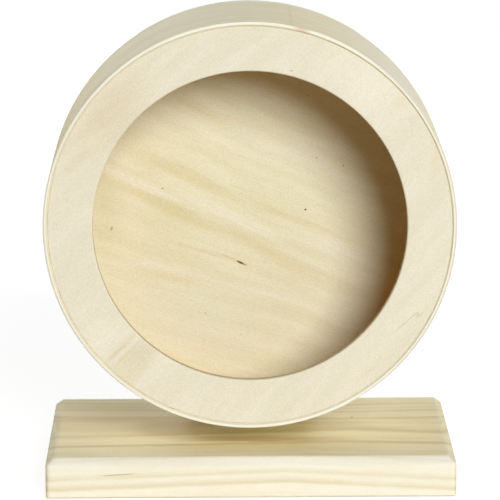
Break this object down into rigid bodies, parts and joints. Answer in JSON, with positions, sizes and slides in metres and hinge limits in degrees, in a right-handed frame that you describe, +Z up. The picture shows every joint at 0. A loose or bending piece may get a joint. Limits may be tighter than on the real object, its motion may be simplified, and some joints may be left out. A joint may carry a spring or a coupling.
{
  "type": "rodent exercise wheel",
  "caption": "Wooden running wheel for a small rodent, with a closed back and a ringed front, turning on a ball bearing on a post on a flat base.",
  "frame": {"origin": "centre of the base's underside, on the surface that the wheel stands on", "axes": "+X to the right across the base, +Y from the wheel's open front to the post behind it, +Z up; the axle lies along Y"},
  "size_m": [0.2, 0.12, 0.232],
  "materials": {
    "base_pine": "planed, raw",
    "post_pine": "planed, raw",
    "ring_ply": "sanded, raw",
    "rim_wood": "sanded, raw",
    "disc_ply": "sanded, raw",
    "hub_wood": "turned, raw",
    "zinc_steel": "bright zinc plated",
    "bearing_steel": "ground and polished",
    "shield_steel": "pressed, bright",
    "nut_nylon": "natural nylon",
    "cage_nylon": "moulded nylon"
  },
  "bodies": {
    "stand": {"base_board": "base_pine", "upright_post": "post_pine", "post_screws": "zinc_steel", "axle_bolt": "zinc_steel", "bearing_inner_race": "bearing_steel", "spacer_sleeve": "zinc_steel", "axle_washers": "zinc_steel", "lock_nut": "zinc_steel", "nut_nylon_ring": "nut_nylon"},
    "wheel": {"front_ring": "ring_ply", "rim_band": "rim_wood", "back_disc": "disc_ply", "hub_block": "hub_wood", "bearing_outer_race": "bearing_steel", "front_shield": "shield_steel", "rear_shield": "shield_steel"},
    "cage": {"bearing_balls": "bearing_steel", "ball_cage": "cage_nylon"}
  },
  "joints": [
    {"name": "wheel_spin", "type": "hinge", "parent": "stand", "child": "wheel", "pos_m": [0, 0.0289, 0.132], "axis": [0, 1, 0], "continuous": true},
    {"name": "cage_spin", "type": "hinge", "parent": "stand", "child": "cage", "pos_m": [0, 0.0289, 0.132], "axis": [0, 1, 0], "continuous": true}
  ],
  "couplings": [
    {"joint": "cage_spin", "follows": "wheel_spin", "ratio": 0.63233}
  ]
}
